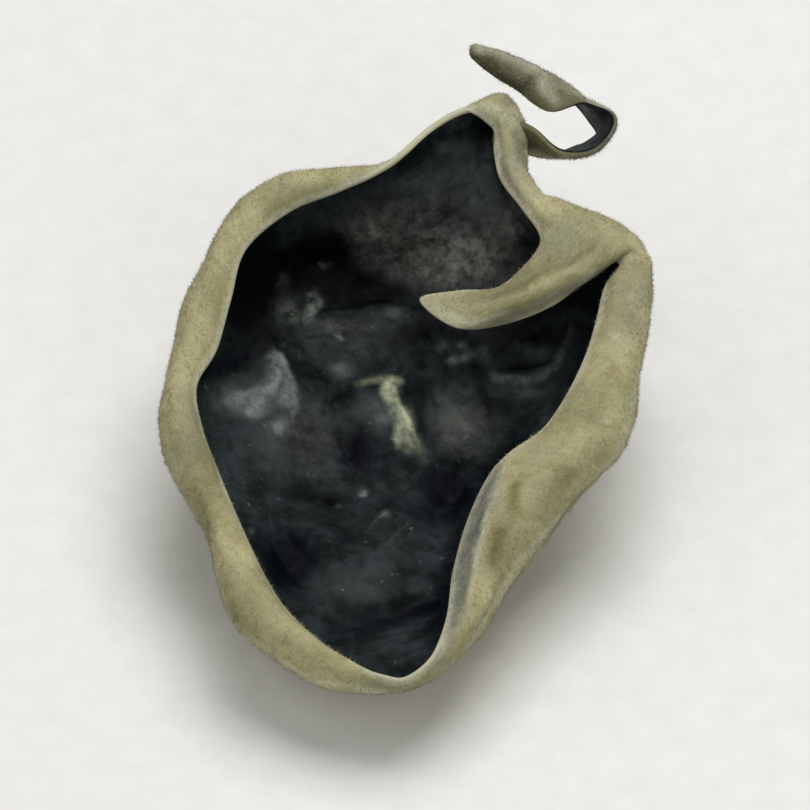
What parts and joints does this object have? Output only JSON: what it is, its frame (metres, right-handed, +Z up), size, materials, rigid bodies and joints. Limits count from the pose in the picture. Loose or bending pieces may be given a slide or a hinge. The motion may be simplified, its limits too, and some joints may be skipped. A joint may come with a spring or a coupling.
{
  "type": "dried wood ear mushroom",
  "caption": "Dried wood ear mushroom: a thin cupped, folded sheet, felted outside and smooth inside, with a rolled margin and a flap folded over the cup.",
  "frame": {"origin": "middle of the part's bounding box, on the surface that it lies on", "axes": "+Z up, +Y towards the raised back of the ear, +X to the right as seen from its low front end"},
  "size_m": [0.0316, 0.049, 0.0172],
  "materials": {
    "dried_mushroom": "matte felted skin outside, satin black skin inside"
  },
  "bodies": {
    "root": {"wood_ear": "dried_mushroom"}
  },
  "joints": []
}
